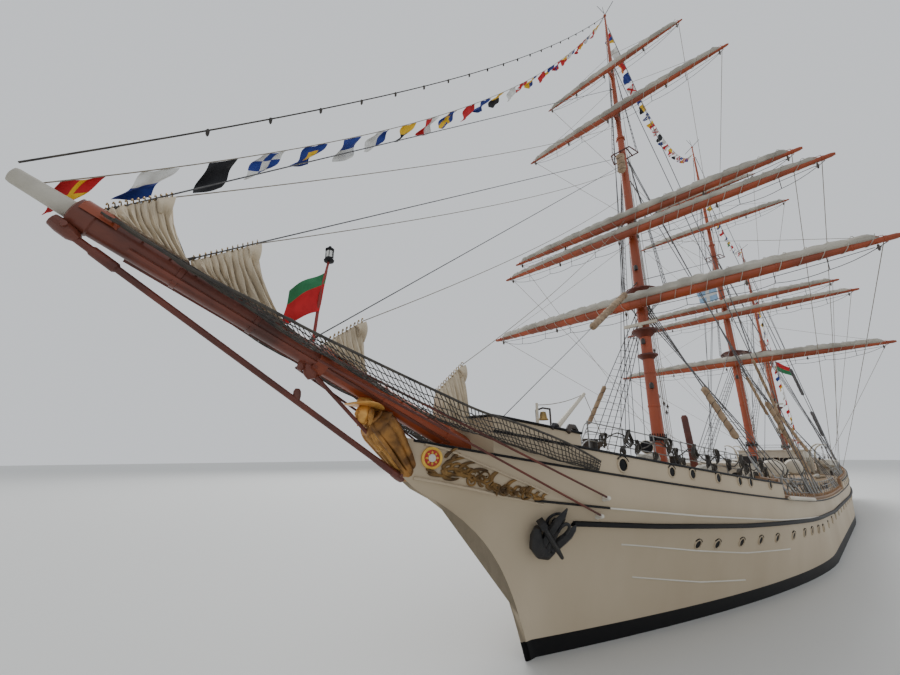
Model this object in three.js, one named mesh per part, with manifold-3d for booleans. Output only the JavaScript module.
// Three-masted square-rigged training barque, afloat, yards squared and sails furled.
// It is drawn in metres at full size, +X to the bow, +Y to port, +Z up, from the waterline amidships.
// The scale of the group at the end makes it a 1:10 model in millimetres.
import * as THREE from 'three';
import { mergeVertices } from 'three/addons/utils/BufferGeometryUtils.js';
import Module from 'manifold-3d';

const wasm = await Module();
wasm.setup();

// Driving dimensions of the ship, in metres
const MODEL_MM_PER_METRE = 100;
const BEAM = 12;
const DRAUGHT = 5.2;
const STEM_HEAD_X = 40.85;
const STEM_WATER_X = 35.47;
const STERN_X = -40.1;
const STERN_WATER_X = -34.9;
const STERNPOST_X = -30.6;
const DECK_AMIDSHIPS_Z = 3.2;
const SHEER_FORWARD = 0.00214;
const SHEER_AFT = 0.0012;
const RAISED_DECK = 0.72;
const WATERWAY = 0.04;
const CAMBER = 0.15;
const FORECASTLE_AFT_X = 22;
const FORECASTLE_FRONT_X = 38.3;
const POOP_FRONT_X = -5;
const STEM_HALF_WIDTH = 0.12;
const KEEL_HALF_WIDTH = 0.15;
const SEAT_GAP = 0.003;

const shipPaint = { white: 0xd9d2c3, spar: 0x8c3a1e, iron: 0x1c1d20, deck: 0xa88a62 };
const finish = (color, roughness, metalness = 0) =>
  new THREE.MeshStandardMaterial({ color, roughness, metalness });
const paintedSteel = () => finish(shipPaint.white, 0.45);
const paintedSpar = () => finish(shipPaint.spar, 0.5);
const blackIron = () => finish(shipPaint.iron, 0.5, 0.4);
const sailcloth = () => finish(0xc9c3b4, 0.95);
const gilding = () => finish(0xb98a2f, 0.35, 0.8);
const galvanisedWire = () => finish(0x54565a, 0.5, 0.7);
const bronze = () => finish(0x9c7a3c, 0.35, 0.9);
const teak = () => finish(0x7a4f2c, 0.6);

// Solids: joining and cutting
const asSolid = (geometry) => {
  const bare = geometry.clone();
  bare.deleteAttribute('normal');
  bare.deleteAttribute('uv');
  const welded = mergeVertices(bare, 1e-5);
  return new wasm.Manifold(new wasm.Mesh({
    numProp: 3,
    vertProperties: new Float32Array(welded.attributes.position.array),
    triVerts: new Uint32Array(welded.index.array),
  }));
};
const asGeometry = (solid) => {
  const mesh = solid.getMesh();
  const geometry = new THREE.BufferGeometry();
  geometry.setAttribute('position', new THREE.BufferAttribute(Float32Array.from(mesh.vertProperties), 3));
  geometry.setIndex(new THREE.BufferAttribute(Uint32Array.from(mesh.triVerts), 1));
  return geometry;
};
const join = (...geometries) => asGeometry(geometries.map(asSolid).reduce((whole, next) => whole.add(next)));
const cut = (geometry, ...tools) =>
  asGeometry(tools.map(asSolid).reduce((whole, tool) => whole.subtract(tool), asSolid(geometry)));

// Basic forms
const vec = (x, y, z) => new THREE.Vector3(x, y, z);

// A straight bar from one point to another, round or with the given number of sides
const bar = (from, to, radiusFrom, radiusTo = radiusFrom, sides = 12) => {
  const length = from.distanceTo(to);
  const geometry = new THREE.CylinderGeometry(radiusTo, radiusFrom, length, sides);
  const turn = new THREE.Quaternion().setFromUnitVectors(vec(0, 1, 0), to.clone().sub(from).normalize());
  geometry.applyQuaternion(turn);
  const middle = from.clone().add(to).multiplyScalar(0.5);
  return geometry.translate(middle.x, middle.y, middle.z);
};

// A box from its lowest to its highest corner
const block = (low, high) =>
  new THREE.BoxGeometry(high[0] - low[0], high[1] - low[1], high[2] - low[2])
    .translate((low[0] + high[0]) / 2, (low[1] + high[1]) / 2, (low[2] + high[2]) / 2);

// A turned piece about Z, from [radius, height] rows that start and end on the axis
const turned = (rows, sides = 16) =>
  new THREE.LatheGeometry(rows.map(([radius, height]) => new THREE.Vector2(radius, height)), sides)
    .rotateX(Math.PI / 2);

// A flat plate from an outline of [x, y] rows, between two heights
const plate = (outline, bottom, top) => {
  const shape = new THREE.Shape(outline.map(([x, y]) => new THREE.Vector2(x, y)));
  return new THREE.ExtrudeGeometry(shape, { depth: top - bottom, bevelEnabled: false }).translate(0, 0, bottom);
};

// A closed surface with its faces turned outwards, whichever way its rings were drawn
const facingOut = (positions, triangles) => {
  const corner = (index) => vec(...positions.slice(3 * index, 3 * index + 3));
  let volume = 0;
  for (let i = 0; i < triangles.length; i += 3) {
    volume += corner(triangles[i]).dot(corner(triangles[i + 1]).cross(corner(triangles[i + 2])));
  }
  const geometry = new THREE.BufferGeometry();
  geometry.setAttribute('position', new THREE.BufferAttribute(new Float32Array(positions), 3));
  geometry.setIndex(volume < 0 ? triangles.reverse() : triangles);
  return geometry;
};

// A closed skin over rings of equal count, with a fan over each end
const skin = (rings) => {
  const count = rings[0].length;
  const positions = rings.flat().flatMap((point) => [point.x, point.y, point.z]);
  const triangles = [];
  for (let ring = 0; ring + 1 < rings.length; ring += 1) {
    for (let i = 0; i < count; i += 1) {
      const j = (i + 1) % count;
      const [a, b, c, d] = [ring * count + i, ring * count + j, (ring + 1) * count + j, (ring + 1) * count + i];
      triangles.push(a, b, c, a, c, d);
    }
  }
  [[rings[0], 0, true], [rings.at(-1), (rings.length - 1) * count, false]].forEach(([ring, first, flip]) => {
    const centre = ring.reduce((sum, point) => sum.add(point), vec(0, 0, 0)).divideScalar(count);
    const hub = positions.length / 3;
    positions.push(centre.x, centre.y, centre.z);
    for (let i = 0; i < count; i += 1) {
      const j = (i + 1) % count;
      triangles.push(...(flip ? [hub, first + j, first + i] : [hub, first + i, first + j]));
    }
  });
  return facingOut(positions, triangles);
};

// Points of an ellipse in the plane of X and Y at one height, going round from port
const oval = (centreX, halfLength, halfWidth, z, count = 12) =>
  Array.from({ length: count }, (_, i) => {
    const angle = (2 * Math.PI * i) / count;
    return vec(centreX + halfLength * Math.cos(angle), halfWidth * Math.sin(angle), z);
  });

// Hull form. A level above 0 is a share of the height to the deck line, below 0 a share of the draught.
const deckLineZ = (x) => DECK_AMIDSHIPS_Z + (x > 0 ? SHEER_FORWARD : SHEER_AFT) * x * x;
const stemX = (z) => Math.min(STEM_WATER_X + 0.38 * z + 0.0055 * z ** 3.7, STEM_HEAD_X);
const bowEndX = (level) => (level >= 0
  ? stemX(level * deckLineZ(STEM_HEAD_X))
  : STEM_WATER_X - 8.5 * Math.abs(level) ** 3);
const sternEndX = (level) => (level >= 0
  ? STERN_WATER_X + (STERN_X - STERN_WATER_X) * level ** 0.6
  : STERNPOST_X + (STERN_WATER_X - STERNPOST_X) * (1 - Math.min(-level / 0.22, 1)) ** 1.5);

const FULL_FORWARD_X = 25;
const FULL_AFT_X = -20;
const shiftedX = (x, level) => {
  if (x > FULL_FORWARD_X) {
    return FULL_FORWARD_X
      + ((x - FULL_FORWARD_X) * (bowEndX(level) - FULL_FORWARD_X)) / (STEM_HEAD_X - FULL_FORWARD_X);
  }
  if (x < FULL_AFT_X) {
    return FULL_AFT_X + ((x - FULL_AFT_X) * (sternEndX(level) - FULL_AFT_X)) / (STERN_X - FULL_AFT_X);
  }
  return x;
};

const halfBreadth = (x, level) => {
  const above = Math.max(level, 0);
  const depth = Math.max(-level, 0);
  const fullest = (BEAM / 2) * (1 - depth ** 2.6) ** 0.75;
  const shoulderX = 12 + 3 * above - 8 * depth;
  const quarterX = -6 - 2 * above + 4 * depth;
  let fullness = 1;
  if (x > shoulderX) {
    const end = bowEndX(level) + 0.03 + 0.32 * above;
    fullness = 1 - Math.min((x - shoulderX) / (end - shoulderX), 1) ** (1.6 + 0.4 * above - 0.3 * depth);
  } else if (x < quarterX) {
    const end = sternEndX(level) - above;
    const share = Math.min((quarterX - x) / (quarterX - end), 1);
    fullness = (1 - share ** (2.2 + 0.2 * above - 0.7 * depth)) ** (1 - 0.3 * above);
  }
  return Math.max(fullest * fullness, level < 0 ? KEEL_HALF_WIDTH : STEM_HALF_WIDTH);
};

const LEVELS = [-1, -0.93, -0.8, -0.6, -0.4, -0.22, -0.12, -0.06, 0, 0.2, 0.4, 0.6, 0.74, 0.83, 1];
const STATIONS = [
  -40.1, -39.8, -39, -37.5, -35, -32, -28, -24, -20, -14, -8, POOP_FRONT_X - 0.05, POOP_FRONT_X, 0, 8, 15,
  FORECASTLE_AFT_X - 0.05, FORECASTLE_AFT_X, 25, 28, 31, 33.5, 35.5, 37, FORECASTLE_FRONT_X,
  FORECASTLE_FRONT_X + 0.05, 39.4, 40.3, STEM_HEAD_X,
];
const raisedAt = (x) =>
  (x < POOP_FRONT_X || (x >= FORECASTLE_AFT_X && x <= FORECASTLE_FRONT_X) ? RAISED_DECK : WATERWAY);
const deckEdgeZ = (x) => deckLineZ(x) + raisedAt(x);
const deckZ = (x) => deckEdgeZ(x) + (CAMBER * halfBreadth(x, 1)) / (BEAM / 2);

// The plating is one skin of half sections, grown outwards where a neighbour is cut to fit it
const platedHull = (grown = 0) => {
  const rings = STATIONS.map((x, index) => {
    const shift = index === 0 ? -grown : index === STATIONS.length - 1 ? grown : 0;
    const side = LEVELS.map((level) => vec(
      shiftedX(x, level) + shift,
      halfBreadth(shiftedX(x, level), level) + grown,
      level < 0 ? DRAUGHT * level - grown : level * deckLineZ(x),
    ));
    const edge = vec(x + shift, halfBreadth(x, 1) + grown, deckEdgeZ(x) + grown);
    const crown = vec(x + shift, 0, deckZ(x) + grown);
    const half = [...side, edge];
    return [...half, crown, ...half.map((point) => vec(point.x, -point.y, point.z)).reverse()];
  });
  const count = rings[0].length;
  const positions = rings.flat().flatMap((point) => [point.x, point.y, point.z]);
  const triangles = [];
  for (let ring = 0; ring + 1 < rings.length; ring += 1) {
    for (let i = 0; i < count; i += 1) {
      const j = (i + 1) % count;
      const [a, b, c, d] = [ring * count + i, ring * count + j, (ring + 1) * count + j, (ring + 1) * count + i];
      triangles.push(a, b, c, a, c, d);
    }
  }
  const crownIndex = (count - 1) / 2;
  [[0, true], [(rings.length - 1) * count, false]].forEach(([first, flip]) => {
    for (let i = 0; i < crownIndex; i += 1) {
      const [a, b, c, d] = [first + i, first + i + 1, first + count - 2 - i, first + count - 1 - i];
      const faces = i + 1 < crownIndex ? [a, b, c, a, c, d] : [a, b, d];
      triangles.push(...(flip ? faces.reverse() : faces));
    }
  });
  return facingOut(positions, triangles);
};
const grownHull = platedHull(SEAT_GAP);

// Bowsprit: one steel spar, its heel in the forecastle front
const BOWSPRIT_SLOPE = 0.4027;
const BOWSPRIT_CAP = { x: 48.4, z: 10.62 };
const BOWSPRIT_HEEL_X = 37.5;
const bowspritZ = (x) => BOWSPRIT_CAP.z - (BOWSPRIT_CAP.x - x) * BOWSPRIT_SLOPE;
const bowspritAt = (x) => vec(x, 0, bowspritZ(x));
const BOWSPRIT_HEEL_RADIUS = 0.35;
const BOWSPRIT_CAP_RADIUS = 0.27;
const bowspritFrame = new THREE.Matrix4().makeTranslation(BOWSPRIT_CAP.x, 0, BOWSPRIT_CAP.z)
  .multiply(new THREE.Matrix4().makeRotationY(Math.atan2(1, BOWSPRIT_SLOPE)));
const alongBowsprit = (x) => (x - BOWSPRIT_CAP.x) * Math.hypot(1, BOWSPRIT_SLOPE);
const bowspritRadius = (x) => THREE.MathUtils.mapLinear(
  x, BOWSPRIT_HEEL_X, BOWSPRIT_CAP.x, BOWSPRIT_HEEL_RADIUS, BOWSPRIT_CAP_RADIUS,
);
// Columns: place along, radius: the heel, the band of the inner stays, the cap collar and the thin tip
const bowspritRows = [
  [BOWSPRIT_HEEL_X, BOWSPRIT_HEEL_RADIUS], [43.3, bowspritRadius(43.3)], [43.31, 0.38], [43.59, 0.38],
  [43.6, bowspritRadius(43.6)], [48.15, bowspritRadius(48.15)], [48.16, 0.36], [48.49, 0.36], [48.5, 0.15],
  [49.35, 0.12],
];
const bowspritSpar = (grown = 0) => {
  const rows = bowspritRows.map(([x, radius]) => [radius + grown, alongBowsprit(x)]);
  const [heel, tip] = [rows[0][1] - grown, rows.at(-1)[1] + grown];
  return turned([[0, heel], [rows[0][0], heel], ...rows.slice(1, -1), [rows.at(-1)[0], tip], [0, tip]], 16)
    .rotateZ(Math.PI / 16)
    .applyMatrix4(bowspritFrame);
};
const bowsprit = join(bowspritSpar());
const grownBowsprit = join(bowspritSpar(SEAT_GAP));

// Masts. A mast's own frame stands on its axis at the reference height and leans aft by its rake.
const MAST_REFERENCE_Z = 7;
const masts = {
  fore: { x: 21.46, rake: 3.2, foot: 4.45, split: 30.2, truck: 44.2, stepRadius: 0.4 },
  main: { x: -3.65, rake: 2.5, foot: 3.47, split: 30.4, truck: 45.0, stepRadius: 0.5 },
  mizzen: { x: -24.2, rake: 3.07, foot: 4.86, split: 22.4, truck: 37.8, stepRadius: 0.5 },
};
Object.values(masts).forEach((mast) => {
  mast.lean = THREE.MathUtils.degToRad(mast.rake);
  mast.along = (z) => (z - MAST_REFERENCE_Z) / Math.cos(mast.lean);
  mast.matrix = new THREE.Matrix4().makeTranslation(mast.x, 0, MAST_REFERENCE_Z)
    .multiply(new THREE.Matrix4().makeRotationY(-mast.lean));
  mast.step = bar(vec(0, 0, mast.along(mast.foot) - 0.6), vec(0, 0, mast.along(mast.foot)), mast.stepRadius)
    .applyMatrix4(mast.matrix);
});

// A yard's truss turns on a pin between two cheeks ahead of its mast
const TRUSS_PIN_X = 0.46;
const YARD_AHEAD = 0.88;
const CHEEK_RADIUS = 0.08;
const TONGUE_RADIUS = 0.07;
const TONGUE_HALF_HEIGHT = 0.09;
const CHEEK_THICKNESS = 0.06;
const cheeks = (z, side = 1) => [1, -1].map((up) => {
  const near = up * (TONGUE_HALF_HEIGHT + SEAT_GAP);
  const far = near + up * CHEEK_THICKNESS;
  const [low, high] = [Math.min(near, far) + z, Math.max(near, far) + z];
  return join(
    block([Math.min(0, side * TRUSS_PIN_X), -CHEEK_RADIUS, low], [Math.max(0, side * TRUSS_PIN_X), CHEEK_RADIUS, high]),
    bar(vec(side * TRUSS_PIN_X, 0, low), vec(side * TRUSS_PIN_X, 0, high), CHEEK_RADIUS),
  );
});
const tongue = (reach) => join(
  block([Math.min(0, reach), -TONGUE_RADIUS, -TONGUE_HALF_HEIGHT], [Math.max(0, reach), TONGUE_RADIUS, TONGUE_HALF_HEIGHT]),
  bar(vec(0, 0, -TONGUE_HALF_HEIGHT), vec(0, 0, TONGUE_HALF_HEIGHT), TONGUE_RADIUS),
);

const yards = [
  { name: 'course', half: 11.97, radius: 0.3, sail: 0.4, fore: 15.8, main: 15.59 },
  { name: 'lower_topsail', half: 10.78, radius: 0.26, sail: 0.36, fore: 21.15, main: 20.93 },
  { name: 'upper_topsail', half: 9.68, radius: 0.24, sail: 0.36, fore: 22.26, main: 22.26 },
  { name: 'topgallant', half: 7.79, radius: 0.19, sail: 0.3, fore: 32.03, main: 32.32 },
  { name: 'royal', half: 5.65, radius: 0.14, sail: 0.24, fore: 36.66, main: 36.96 },
];

// [radius, height] of the lower masts up to the doubling, and of the topgallant masts above it
const lowerMastRows = (mast, grown = 0) => [
  [0, mast.along(mast.foot) + SEAT_GAP],
  [0.35 + grown, mast.along(mast.foot) + SEAT_GAP],
  [0.34 + grown, 10],
  [0.3 + grown, 15],
  [0.26 + grown, mast.along(mast.split)],
  [0, mast.along(mast.split)],
];
const topMastRows = (mast, base, grown = 0) => {
  const bottom = mast.along(mast.split) + SEAT_GAP;
  const top = mast.along(mast.truck);
  return [
    [0, bottom], [base + grown, bottom], [base * 0.8 + grown, (bottom + top) / 2],
    [0.07 + grown, top - 0.12], [0.13 + grown, top - 0.1], [0.1 + grown, top], [0, top],
  ];
};
const TOPGALLANT_BASE = 0.21;
const MIZZEN_TOPMAST_BASE = 0.2;

// A working platform round the front of a mast on a tapered corbel
const frontPlatform = (z, radius, depth) => cut(
  turned([[0, z - depth], [radius * 0.5, z - depth], [radius * 0.92, z - 0.1], [radius, z - 0.1], [radius, z], [0, z]]),
  block([-radius - 1, -radius - 1, z - depth - 1], [-0.1, radius + 1, z + 1]),
);
// The top: a plate wider abaft the mast, where the shrouds come up to it
const topPlate = (z) => plate(
  [[0.75, 0.45], [0.45, 0.8], [-0.4, 1.25], [-1.4, 1.45], [-1.4, -1.45], [-0.4, -1.25], [0.45, -0.8], [0.75, -0.45]],
  z - 0.08, z,
);
const crosstrees = (z) => join(
  block([-0.75, -0.95, z - 0.1], [-0.6, 0.95, z]),
  block([-0.75, -0.06, z - 0.1], [0.45, 0.06, z]),
  block([0.3, -0.7, z - 0.1], [0.45, 0.7, z]),
  block([-0.75, 0.42, z - 0.1], [0.45, 0.54, z]),
  block([-0.75, -0.54, z - 0.1], [0.45, -0.42, z]),
);
const pinCollar = () => bar(vec(0, 0, 0.1), vec(0, 0, 0.36), 0.5, 0.5, 16);

const TOP_Z = 17.05;
const CROSSTREES_Z = 28.75;
const lowerMasts = {
  fore: (mast) => join(
    turned(lowerMastRows(mast)), pinCollar(),
    frontPlatform(mast.along(TOP_Z), 0.85, 0.55), topPlate(mast.along(TOP_Z)),
    frontPlatform(mast.along(14.15), 0.8, 0.45), frontPlatform(mast.along(12.5), 0.62, 0.35),
    crosstrees(mast.along(CROSSTREES_Z)),
    ...yards.slice(0, 3).flatMap((yard) => cheeks(mast.along(yard.fore))),
  ),
  main: (mast) => join(
    turned(lowerMastRows(mast)), pinCollar(),
    frontPlatform(mast.along(TOP_Z), 0.85, 0.55), topPlate(mast.along(TOP_Z)),
    crosstrees(mast.along(CROSSTREES_Z)),
    ...yards.slice(0, 3).flatMap((yard) => cheeks(mast.along(yard.main))),
  ),
};

// Fore and aft spars of the mizzen, hinged abaft the mast
const spankerSpars = [
  { name: 'spanker_boom', z: 8.2, length: 13.2, rise: 4, radius: 0.2 },
  { name: 'lower_gaff', z: 17.6, length: 8.6, rise: 28, radius: 0.14 },
  { name: 'upper_gaff', z: 26.0, length: 8.0, rise: 42, radius: 0.12 },
];
lowerMasts.mizzen = (mast) => join(
  turned(lowerMastRows(mast)), pinCollar(),
  frontPlatform(mast.along(12.6), 0.7, 0.4),
  topPlate(mast.along(20.7)),
  ...spankerSpars.slice(0, 2).flatMap((spar) => cheeks(mast.along(spar.z), -1)),
);
const topMasts = {
  fore: (mast) => join(
    turned(topMastRows(mast, TOPGALLANT_BASE)),
    ...yards.slice(3).flatMap((yard) => cheeks(mast.along(yard.fore))),
  ),
  main: (mast) => join(
    turned(topMastRows(mast, TOPGALLANT_BASE)),
    ...yards.slice(3).flatMap((yard) => cheeks(mast.along(yard.main))),
  ),
  mizzen: (mast) => join(
    turned(topMastRows(mast, MIZZEN_TOPMAST_BASE)),
    ...cheeks(mast.along(spankerSpars[2].z), -1),
  ),
};
const grownMast = (name) => {
  const mast = masts[name];
  const base = name === 'mizzen' ? MIZZEN_TOPMAST_BASE : TOPGALLANT_BASE;
  const rows = lowerMastRows(mast, SEAT_GAP);
  return join(turned(rows), turned(topMastRows(mast, base, SEAT_GAP))
    .translate(0, 0, -2 * SEAT_GAP)).applyMatrix4(mast.matrix);
};

// A yard lies athwart, its truss tongue reaching back to the pin at the origin
const yardSpar = (yard) => {
  const ahead = YARD_AHEAD - TRUSS_PIN_X;
  const rows = [
    [0, -yard.half], [yard.radius * 0.42, -yard.half], [yard.radius * 0.8, -yard.half * 0.6],
    [yard.radius, -yard.half * 0.25], [yard.radius, yard.half * 0.25], [yard.radius * 0.8, yard.half * 0.6],
    [yard.radius * 0.42, yard.half], [0, yard.half],
  ];
  return join(
    turned(rows, 12).rotateX(Math.PI / 2).translate(ahead, 0, 0),
    tongue(ahead),
  );
};
const yardRadiusAt = (yard, share) => {
  const [inner, middle, end] = [1, 0.8, 0.42];
  const slope = share < 0.25 ? inner : share < 0.6
    ? inner + ((middle - inner) * (share - 0.25)) / 0.35
    : middle + ((end - middle) * (share - 0.6)) / 0.4;
  return yard.radius * slope;
};
// A furled sail: a long roll bedded on the yard, fullest at the bunt and thin at the earings
const SAIL_SHARES = [-0.93, -0.8, -0.6, -0.4, -0.25, -0.1, 0.1, 0.25, 0.4, 0.6, 0.8, 0.93];
const furledSail = (yard) => {
  const ahead = YARD_AHEAD - TRUSS_PIN_X;
  return skin(SAIL_SHARES.map((share) => {
    const away = Math.abs(share);
    const height = yard.sail * (1 - 0.45 * away * away);
    const width = 0.62 * height;
    const bed = yardRadiusAt(yard, away) + SEAT_GAP;
    const outline = [
      [-1, 0], [-0.95, 0.45], [-0.6, 0.85], [0, 1], [0.6, 0.85], [0.95, 0.45], [1, 0],
    ];
    return outline.map(([across, up]) => vec(ahead + across * width, share * yard.half, bed + up * height));
  }).map((ring) => ring.reverse()));
};

// A fore and aft spar runs aft and up from its pin
const foreAndAftSpar = (spar) => {
  const rise = THREE.MathUtils.degToRad(spar.rise);
  const start = vec(-0.16, 0, 0);
  const end = vec(-Math.cos(rise) * spar.length, 0, Math.sin(rise) * spar.length);
  return join(bar(start, end, spar.radius * 0.8, spar.radius * 0.6, 12), tongue(-0.3));
};

// Stays, each cut to meet the spars and deck it is set up to
const STAY_RADIUS = 0.03;
const mastPoint = (name, z) => vec(0, 0, masts[name].along(z)).applyMatrix4(masts[name].matrix);
const grown = { fore: grownMast('fore'), main: grownMast('main'), mizzen: grownMast('mizzen') };
const stay = (foot, mastName, z, ...tools) =>
  cut(bar(foot, mastPoint(mastName, z), STAY_RADIUS, STAY_RADIUS, 8), grown[mastName], ...tools);
const headStays = [
  { name: 'flying_jib_stay', foot: bowspritAt(48.35), z: 35.4 },
  { name: 'outer_jib_stay', foot: bowspritAt(47.0), z: 28.4 },
  { name: 'inner_jib_stay', foot: bowspritAt(44.05), z: 27.7 },
  { name: 'fore_stay', foot: vec(37.4, 0, 6.9), z: 17.8 },
];
const grownHeadStays = headStays.map(({ foot, z }) =>
  bar(foot, mastPoint('fore', z), STAY_RADIUS + SEAT_GAP, STAY_RADIUS + SEAT_GAP, 8));

// Standing rigging of one side: shrouds and backstays that rise from a pin rail along the deck edge
const RIGGING_RAIL = { aft: -29.2, fore: 24.2, inset: 0.2, halfWidth: 0.08, height: 0.16 };
const STEP_POST = { halfLength: 0.22, halfWidth: 0.11, proud: 0.04 };
const EYE_SPACING = 0.35;
// Each row's highest eye stands clear of its mast, at [x, y] in the mast's frame, and the next ones are stacked
// below it. The feet are places along the rail.
const sideStays = [
  { mast: 'fore', head: 16.3, eye: [-0.38, 0.18], feet: [23.5, 21.9, 20.3, 18.7, 17.1] },
  { mast: 'fore', head: 26.2, eye: [-0.28, 0.24], feet: [9] },
  { mast: 'fore', head: 28.3, eye: [-0.25, 0.24], feet: [14.6, 13.6] },
  { mast: 'fore', head: 38, eye: [-0.19, 0.17], feet: [12.4] },
  { mast: 'fore', head: 42.6, eye: [-0.13, 0.12], feet: [11.2] },
  { mast: 'main', head: 16.2, eye: [-0.38, 0.18], feet: [-1.2, -2.9, -4.6, -6.3, -8] },
  { mast: 'main', head: 28.3, eye: [-0.25, 0.24], feet: [-8.9, -9.7] },
  { mast: 'main', head: 38.4, eye: [-0.19, 0.17], feet: [-10.7] },
  { mast: 'main', head: 43.4, eye: [-0.13, 0.12], feet: [-11.6] },
  { mast: 'mizzen', head: 20.2, eye: [-0.3, 0.28], feet: [-22.8, -24.2, -25.6, -27] },
  { mast: 'mizzen', head: 30, eye: [-0.19, 0.17], feet: [-27.6] },
  { mast: 'mizzen', head: 36, eye: [-0.13, 0.12], feet: [-28.4] },
];
const sideRigging = (() => {
  const { inset, halfWidth, height } = RIGGING_RAIL;
  const railAt = (x) => vec(x, halfBreadth(x, 1) - inset, deckEdgeZ(x));
  const stations = STATIONS.filter((x) => x > RIGGING_RAIL.aft && x < RIGGING_RAIL.fore);
  const rail = skin([RIGGING_RAIL.aft, ...stations, RIGGING_RAIL.fore].map((x) => {
    const { y, z } = railAt(x);
    return [[-halfWidth, -0.1], [halfWidth, -0.1], [halfWidth, height], [-halfWidth, height]]
      .map(([across, up]) => vec(x, y + across, z + up));
  }));
  const posts = [POOP_FRONT_X, FORECASTLE_AFT_X].map((x) => {
    const { y } = railAt(x);
    const [low, high] = [deckLineZ(x) + WATERWAY - 0.15, deckLineZ(x) + RAISED_DECK + height + STEP_POST.proud];
    return block(
      [x - STEP_POST.halfLength, y - STEP_POST.halfWidth, low],
      [x + STEP_POST.halfLength, y + STEP_POST.halfWidth, high],
    );
  });
  const stays = sideStays.flatMap(({ mast, head, eye, feet }) => feet.map((x, order) => {
    const foot = railAt(x).add(vec(0, 0, height / 2));
    const top = vec(...eye, masts[mast].along(head - EYE_SPACING * order)).applyMatrix4(masts[mast].matrix);
    return bar(foot, top, STAY_RADIUS, STAY_RADIUS, 6);
  }));
  return cut(join(rail, ...posts, ...stays), grownHull);
})();

// Bow bulwark: plating that stands on the forecastle deck edge and runs across its front
const BULWARK_AFT_X = 35.2;
const BULWARK_HEIGHT = 0.42;
const BULWARK_THICKNESS = 0.09;
const bowBulwark = (() => {
  const port = [BULWARK_AFT_X, 35.5, 37, FORECASTLE_FRONT_X].map((x) => [x, halfBreadth(x, 1), deckEdgeZ(x)]);
  const path = [...port, ...port.map(([x, y, z]) => [x, -y, z]).reverse()];
  return cut(skin(path.map(([x, y, z]) => {
    const inner = y - Math.sign(y) * BULWARK_THICKNESS;
    const innerX = x === FORECASTLE_FRONT_X ? x - BULWARK_THICKNESS : x;
    return [
      vec(x, y, z), vec(x, y, z + BULWARK_HEIGHT),
      vec(innerX, inner, z + BULWARK_HEIGHT), vec(innerX, inner, z),
    ];
  })), grownHull);
})();
const bulwarkFrontTool = block(
  [FORECASTLE_FRONT_X - BULWARK_THICKNESS - SEAT_GAP, -2, 5],
  [FORECASTLE_FRONT_X + SEAT_GAP, 2, deckEdgeZ(FORECASTLE_FRONT_X) + BULWARK_HEIGHT + SEAT_GAP],
);

// Furled jibs: a stack of folded cloth between each stay and the bowsprit.
// Columns: place along, height of the fold above the bowsprit's axis, half width
const jibs = [
  { name: 'flying_jib', rows: [[47.9, 0.5, 0.12], [47.5, 1, 0.26], [47.05, 1.55, 0.4], [46.6, 1.05, 0.4], [46.2, 0.6, 0.3]] },
  { name: 'outer_jib', rows: [[46.15, 0.7, 0.12], [45.75, 1.2, 0.28], [45.25, 1.76, 0.42], [44.7, 1.2, 0.42], [44, 0.6, 0.25]] },
  { name: 'inner_jib', rows: [[43.2, 0.6, 0.1], [42.8, 1.15, 0.24], [42.3, 1.78, 0.36], [42, 1.3, 0.36], [41.7, 0.7, 0.25]] },
  {
    name: 'fore_topmast_staysail',
    rows: [[39.4, 0.85, 0.15], [38.9, 1.75, 0.32], [38.4, 2.55, 0.42], [38.05, 1.9, 0.45], [37.6, 1.45, 0.35]],
  },
];
const furledJib = (jib) => cut(
  skin(jib.rows.map(([x, height, halfWidth]) => {
    const low = bowspritZ(x);
    return [[-0.6, 0], [-1, 0.35], [-0.7, 0.75], [-0.15, 1], [0.15, 1], [0.7, 0.75], [1, 0.35], [0.6, 0]]
      .map(([across, up]) => vec(x, across * halfWidth, low + up * height));
  })),
  grownBowsprit, grownHull, bulwarkFrontTool, ...grownHeadStays,
);

// Bobstays: solid rods under the bowsprit, set up at the stem head
const stemHeadFace = block([STEM_HEAD_X - 2, -1, 4], [STEM_HEAD_X + SEAT_GAP, 1, 7.5]);
const outerBobstay = cut(
  join(
    bar(vec(40.7, 0, 5.66), vec(48.42, 0, 10.45), 0.07),
    bar(vec(47.15, 0, 9.5), vec(47.95, 0, 9.98), 0.13),
  ),
  grownBowsprit, stemHeadFace,
);
const OUTER_BOBSTAY_TOP_AT_LINK = 7.735;
const innerBobstay = cut(
  join(
    bar(vec(40.7, 0, 5.85), vec(43.68, 0, 8.29), 0.06),
    bar(vec(43.5, 0, 8.2), vec(43.95, 0, 8.42), 0.11),
    bar(vec(43.86, 0, 8.5), vec(44.04, 0, OUTER_BOBSTAY_TOP_AT_LINK), 0.05),
    bar(vec(43.62, 0, 8.25), vec(43.5, 0, 8.6), 0.1),
  ),
  grownBowsprit, stemHeadFace, bar(vec(40.7, 0, 5.66), vec(48.42, 0, 10.45), 0.07 + SEAT_GAP),
);

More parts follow.
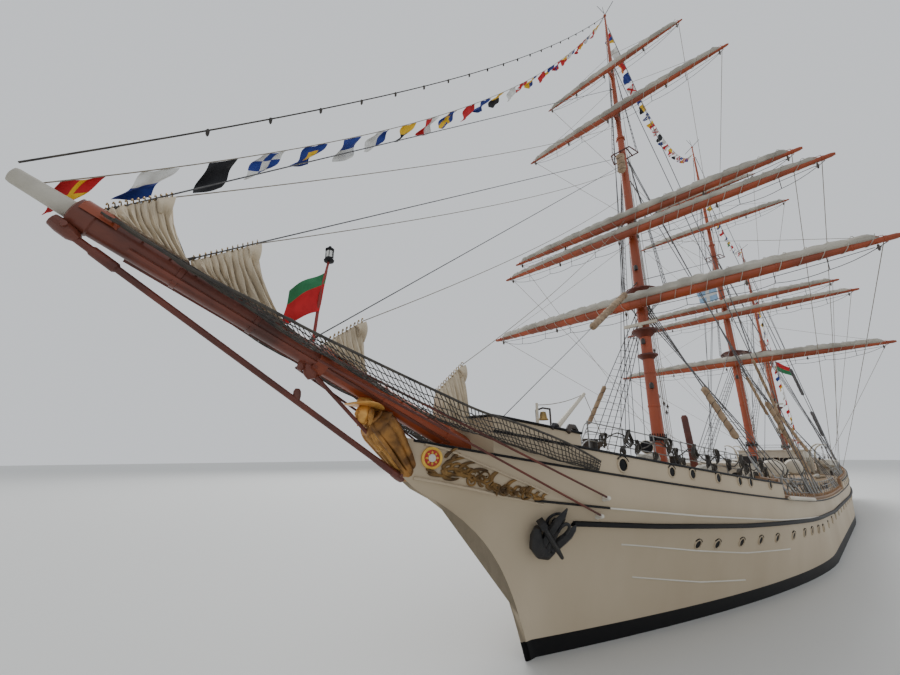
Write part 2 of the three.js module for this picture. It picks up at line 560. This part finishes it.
// Figurehead: a cloaked mariner in a broad hat, astride the stem head.
// Columns: height, back of the cloak, front of the cloak, half width
const cloak = [
  [5.9, 40.6, 40.78, 0.16], [6.05, 40.5, 40.9, 0.3], [6.31, 40.45, 41.22, 0.42], [6.6, 40.6, 41.58, 0.48],
  [6.9, 40.95, 41.96, 0.52], [7.1, 41.25, 42.16, 0.48], [7.24, 41.6, 42.3, 0.22],
];
const HEAD_CENTRE = vec(42.1, 0, 7.38);
const figurehead = cut(
  join(
    skin(cloak.map(([z, back, front, halfWidth]) => oval((back + front) / 2, (front - back) / 2, halfWidth, z))),
    new THREE.SphereGeometry(0.21, 12, 8).translate(HEAD_CENTRE.x, HEAD_CENTRE.y, HEAD_CENTRE.z),
    new THREE.CylinderGeometry(0.5, 0.55, 0.05, 16).rotateX(Math.PI / 2).rotateY(-0.13).translate(42.02, 0, 7.53),
    new THREE.CylinderGeometry(0.2, 0.27, 0.2, 12).rotateX(Math.PI / 2).rotateY(-0.13).translate(42.0, 0, 7.62),
  ),
  grownHull, grownBowsprit,
  bar(vec(40.7, 0, 5.66), vec(48.42, 0, 10.45), 0.07 + SEAT_GAP),
  bar(vec(40.7, 0, 5.85), vec(43.68, 0, 8.29), 0.06 + SEAT_GAP),
);

// Stern gear
const PROPELLER = { x: -31.05, z: -3, radius: 1.25, hub: 0.26, blades: 3 };
const RUDDER_AXIS_X = -32.62;
const HEEL_TOP_Z = -4.85;
const propellerBlade = () => {
  const rows = [[0.1, 0.2, 55], [0.6, 0.34, 40], [1.05, 0.32, 30], [PROPELLER.radius, 0.12, 24]];
  return skin(rows.map(([radius, halfChord, pitch]) => {
    const angle = THREE.MathUtils.degToRad(90 - pitch);
    const [along, across] = [Math.cos(angle), Math.sin(angle)];
    const thick = 0.035;
    return [[-1, 0], [0, -1], [1, 0], [0, 1]].map(([chord, face]) => vec(
      chord * halfChord * along - face * thick * across,
      chord * halfChord * across + face * thick * along,
      radius,
    ));
  }));
};
const propeller = join(
  bar(vec(STERNPOST_X - SEAT_GAP, 0, 0), vec(PROPELLER.x - 0.35, 0, 0), PROPELLER.hub, 0.16),
  ...Array.from({ length: PROPELLER.blades }, (_, i) =>
    propellerBlade().rotateX((2 * Math.PI * i) / PROPELLER.blades).translate(PROPELLER.x, 0, 0)),
);
const rudder = join(
  skin([-4.78, -1.0].map((z) => {
    const trailing = z < -2 ? -2.05 : -1.55;
    return [[0.06, 0.13], [-0.6, 0.17], [trailing, 0.05], [trailing, -0.05], [-0.6, -0.17], [0.06, -0.13]]
      .map(([x, y]) => vec(x, y, z));
  })),
  bar(vec(0, 0, HEEL_TOP_Z + SEAT_GAP), vec(0, 0, 0.3), 0.13),
);
const sternFrame = [
  block([-32.85, -0.18, -DRAUGHT - 0.03], [STERNPOST_X + 0.5, 0.18, HEEL_TOP_Z]),
  block([-32.45, -0.1, HEEL_TOP_Z - 0.2], [-32.1, 0.1, -0.2]),
];
const rudderTrunk = bar(vec(RUDDER_AXIS_X, 0, -1.4), vec(RUDDER_AXIS_X, 0, 0.4), 0.16);

const hull = cut(
  join(platedHull(), ...sternFrame, ...Object.values(masts).map((mast) => mast.step)),
  bowspritSpar(SEAT_GAP), rudderTrunk,
);

// Anchors: stockless, hove up to the hawse on each bow
const ANCHOR = { x: 36.0, z: 4.05 };
const anchor = () => {
  const level = ANCHOR.z / deckLineZ(ANCHOR.x);
  const y = halfBreadth(ANCHOR.x, level) + 0.02;
  const pieces = join(
    bar(vec(ANCHOR.x, y - 0.3, ANCHOR.z + 0.75), vec(ANCHOR.x, y + 0.14, ANCHOR.z - 0.4), 0.1, 0.13, 8),
    block([ANCHOR.x - 0.65, y - 0.05, ANCHOR.z - 0.6], [ANCHOR.x + 0.65, y + 0.32, ANCHOR.z - 0.28]),
    ...[-1, 1].map((side) => skin([
      [side * 0.42, 0.13, 0.16, -0.45], [side * 0.46, 0.16, 0.12, 0.2], [side * 0.4, 0.03, 0.04, 0.62],
    ].map(([along, halfX, halfY, up]) => [[-1, -1], [1, -1], [1, 1], [-1, 1]].map(([i, j]) =>
      vec(ANCHOR.x + along + i * halfX, y + 0.2 + j * halfY, ANCHOR.z + up))))),
  );
  return cut(pieces, grownHull);
};

// Deckhouses: hollow steel boxes with an overhanging roof, windows and doors cut
const WALL = 0.1;
const ROOF_OVERHANG = 0.12;
const deckhouse = ({ aft, front, halfWidth, floor, height, windows, door }) => {
  const roofZ = floor + height;
  const openings = windows.flatMap(([x, low, high, halfSpan]) =>
    [block([x - halfSpan, -halfWidth - 1, low], [x + halfSpan, halfWidth + 1, high])]);
  return cut(
    join(
      block([aft, -halfWidth, floor - 1], [front, halfWidth, roofZ]),
      block([aft - ROOF_OVERHANG, -halfWidth - ROOF_OVERHANG, roofZ - 0.05],
        [front + ROOF_OVERHANG, halfWidth + ROOF_OVERHANG, roofZ + 0.05]),
    ),
    block([aft + WALL, -halfWidth + WALL, floor - 2], [front - WALL, halfWidth - WALL, roofZ - WALL]),
    ...openings,
    block([aft - 1, door[0], floor - 0.5], [aft + 1, door[1], floor + 1.9]),
    grownHull,
  );
};
const windowRow = (first, step, count, low, high, halfSpan) =>
  Array.from({ length: count }, (_, i) => [first + i * step, low, high, halfSpan]);
const foreHouse = deckhouse({
  aft: 6, front: 14.5, halfWidth: 2.2, floor: 3.45, height: 2.25,
  windows: windowRow(7.4, 1.9, 4, 4.5, 5.0, 0.28), door: [-0.4, 0.4],
});
const chartHouse = (() => {
  const house = { aft: -19, front: -12, halfWidth: 3, floor: 4.35, height: 2.4 };
  const body = deckhouse({ ...house, windows: windowRow(-18, 1.5, 5, 5.4, 5.95, 0.3), door: [-0.4, 0.4] });
  return cut(body, ...[-2.2, -1.1, 0, 1.1, 2.2].map((y) =>
    block([house.front - 1, y - 0.3, 5.4], [house.front + 1, y + 0.3, 5.95])));
})();

// Triple steering wheel on its stand before the mizzen mast
const WHEEL = { x: -21.2, z: 5.95, radius: 0.78, spokes: 8, spacing: 0.55 };
const steeringWheel = (() => {
  const pieces = [bar(vec(SEAT_GAP - 0.77, 0, 0), vec(0.77 - SEAT_GAP, 0, 0), 0.06, 0.06, 8)];
  [-1, 0, 1].forEach((place) => {
    const x = place * WHEEL.spacing;
    pieces.push(new THREE.TorusGeometry(WHEEL.radius * 0.82, 0.05, 4, 12).rotateY(Math.PI / 2).translate(x, 0, 0));
    for (let i = 0; i < WHEEL.spokes / 2; i += 1) {
      const angle = (2 * Math.PI * i) / WHEEL.spokes;
      const tip = vec(x, Math.cos(angle) * WHEEL.radius, Math.sin(angle) * WHEEL.radius);
      pieces.push(bar(vec(x, -tip.y, -tip.z), tip, 0.03, 0.03, 4));
    }
  });
  return join(...pieces);
})();
const wheelStand = cut(
  join(
    block([WHEEL.x - 0.9, -0.22, 4.6], [WHEEL.x + 0.9, 0.22, 4.95]),
    ...[-0.82, 0.82].map((x) => block([WHEEL.x + x - 0.05, -0.12, 4.9], [WHEEL.x + x + 0.05, 0.12, WHEEL.z + 0.15])),
  ),
  grownHull,
);

// Ship's boats on chocks beside the charthouse.
// Columns: share of the length from amidships, half breadth, keel height
const BOAT = { x: -15.4, y: 4.55, length: 6.6, keel: 4.72, depth: 0.85 };
const boatRows = [
  [-0.5, 0.06, 0.5], [-0.42, 0.45, 0.16], [-0.25, 0.8, 0.04], [0, 0.92, 0], [0.25, 0.8, 0.04], [0.42, 0.45, 0.16],
  [0.5, 0.06, 0.5],
];
const boat = () => cut(
  join(
    skin(boatRows.map(([share, half, keel]) => {
      const [x, low, high] = [BOAT.x + share * BOAT.length, BOAT.keel + keel, BOAT.keel + BOAT.depth];
      const sheer = high + 0.5 * share * share;
      return [[-1, 1], [-0.8, 0.4], [-0.3, 0.08], [0.3, 0.08], [0.8, 0.4], [1, 1], [0, 1.12]]
        .map(([across, up]) => vec(x, BOAT.y + across * half, low + (sheer - low) * up));
    })),
    ...[-1.5, 1.5].map((along) =>
      block([BOAT.x + along - 0.12, BOAT.y - 0.75, BOAT.keel - 0.8], [BOAT.x + along + 0.12, BOAT.y + 0.75, BOAT.keel + 0.35])),
  ),
  grownHull,
);

// Anchor windlass on the forecastle
const windlass = cut(
  join(
    block([32.4, -0.9, 5.6], [33.4, 0.9, 6.55]),
    bar(vec(32.9, -1.5, 6.5), vec(32.9, 1.5, 6.5), 0.32, 0.32, 14),
    bar(vec(32.9, -1.62, 6.5), vec(32.9, -1.42, 6.5), 0.42, 0.42, 14),
    bar(vec(32.9, 1.42, 6.5), vec(32.9, 1.62, 6.5), 0.42, 0.42, 14),
  ),
  grownHull,
);

// Spanker brailed in to the mizzen mast between the boom and the lower gaff
const SPANKER_RADIUS = 0.24;
const spankerSail = skin([[8.9, 0.12], [9.6, 0.2], [11, 0.24], [14, 0.24], [16, 0.2], [16.9, 0.1]].map(([z, radius]) => {
  const along = masts.mizzen.along(z);
  return oval(-0.35 - SEAT_GAP - SPANKER_RADIUS, radius, radius * 0.9, along, 8);
}));

// The ship put together
const ship = new THREE.Group();
const addTo = (parent, name, geometry, material, position = [0, 0, 0]) => {
  const mesh = new THREE.Mesh(geometry, material);
  mesh.name = name;
  mesh.position.set(...position);
  parent.add(mesh);
  return mesh;
};
const mirrored = (geometry) => {
  const copy = geometry.clone().applyMatrix4(new THREE.Matrix4().makeScale(1, -1, 1));
  const index = copy.index.array;
  for (let i = 0; i < index.length; i += 3) {
    [index[i], index[i + 1]] = [index[i + 1], index[i]];
  }
  return copy;
};

addTo(ship, 'hull', hull, paintedSteel());
addTo(ship, 'bow_bulwark', bowBulwark, paintedSteel());
addTo(ship, 'bowsprit', bowsprit, paintedSpar());
addTo(ship, 'outer_bobstay', outerBobstay, paintedSpar());
addTo(ship, 'inner_bobstay', innerBobstay, paintedSpar());
addTo(ship, 'figurehead', figurehead, gilding());
addTo(ship, 'rudder', rudder, paintedSteel(), [RUDDER_AXIS_X, 0, 0]);
addTo(ship, 'propeller', propeller, bronze(), [0, 0, PROPELLER.z]);
addTo(ship, 'fore_deckhouse', foreHouse, paintedSteel());
addTo(ship, 'charthouse', chartHouse, paintedSteel());
addTo(ship, 'windlass', windlass, blackIron());
addTo(ship, 'wheel_stand', wheelStand, teak());
addTo(ship, 'steering_wheel', steeringWheel, teak(), [WHEEL.x, 0, WHEEL.z]);
const portAnchor = anchor();
addTo(ship, 'port_anchor', portAnchor, blackIron());
addTo(ship, 'starboard_anchor', mirrored(portAnchor), blackIron());
const portBoat = boat();
addTo(ship, 'port_boat', portBoat, paintedSteel());
addTo(ship, 'starboard_boat', mirrored(portBoat), paintedSteel());

Object.entries(masts).forEach(([name, mast]) => {
  const frame = new THREE.Group();
  frame.applyMatrix4(mast.matrix);
  ship.add(frame);
  addTo(frame, `${name}_lower_mast`, lowerMasts[name](mast), paintedSpar());
  addTo(frame, `${name}_${name === 'mizzen' ? 'topmast' : 'topgallant_mast'}`, topMasts[name](mast), paintedSpar());
  if (name === 'mizzen') {
    spankerSpars.forEach((spar) => {
      addTo(frame, spar.name, foreAndAftSpar(spar), paintedSpar(), [-TRUSS_PIN_X, 0, mast.along(spar.z)]);
    });
    addTo(frame, 'spanker', spankerSail, sailcloth());
    return;
  }
  yards.forEach((yard) => {
    const place = [TRUSS_PIN_X, 0, mast.along(yard[name])];
    addTo(frame, `${name}_${yard.name}_yard`, yardSpar(yard), paintedSpar(), place);
    addTo(frame, `${name}_${yard.name}_sail`, furledSail(yard), sailcloth(), place);
  });
});

jibs.forEach((jib) => addTo(ship, jib.name, furledJib(jib), sailcloth()));
headStays.forEach(({ name, foot, z }) =>
  addTo(ship, name, stay(foot, 'fore', z, grownBowsprit, grownHull), galvanisedWire()));
addTo(ship, 'port_rigging', sideRigging, galvanisedWire());
addTo(ship, 'starboard_rigging', mirrored(sideRigging), galvanisedWire());
addTo(ship, 'main_stay', stay(vec(18.6, 0, 3.9), 'main', 17.9, grownHull), galvanisedWire());
addTo(ship, 'main_topmast_stay', stay(mastPoint('fore', 17.8), 'main', 28.2, grown.fore), galvanisedWire());
addTo(ship, 'mizzen_stay', stay(vec(-6.4, 0, 3.9), 'mizzen', 19.9, grownHull), galvanisedWire());

ship.scale.setScalar(MODEL_MM_PER_METRE);

export default ship;
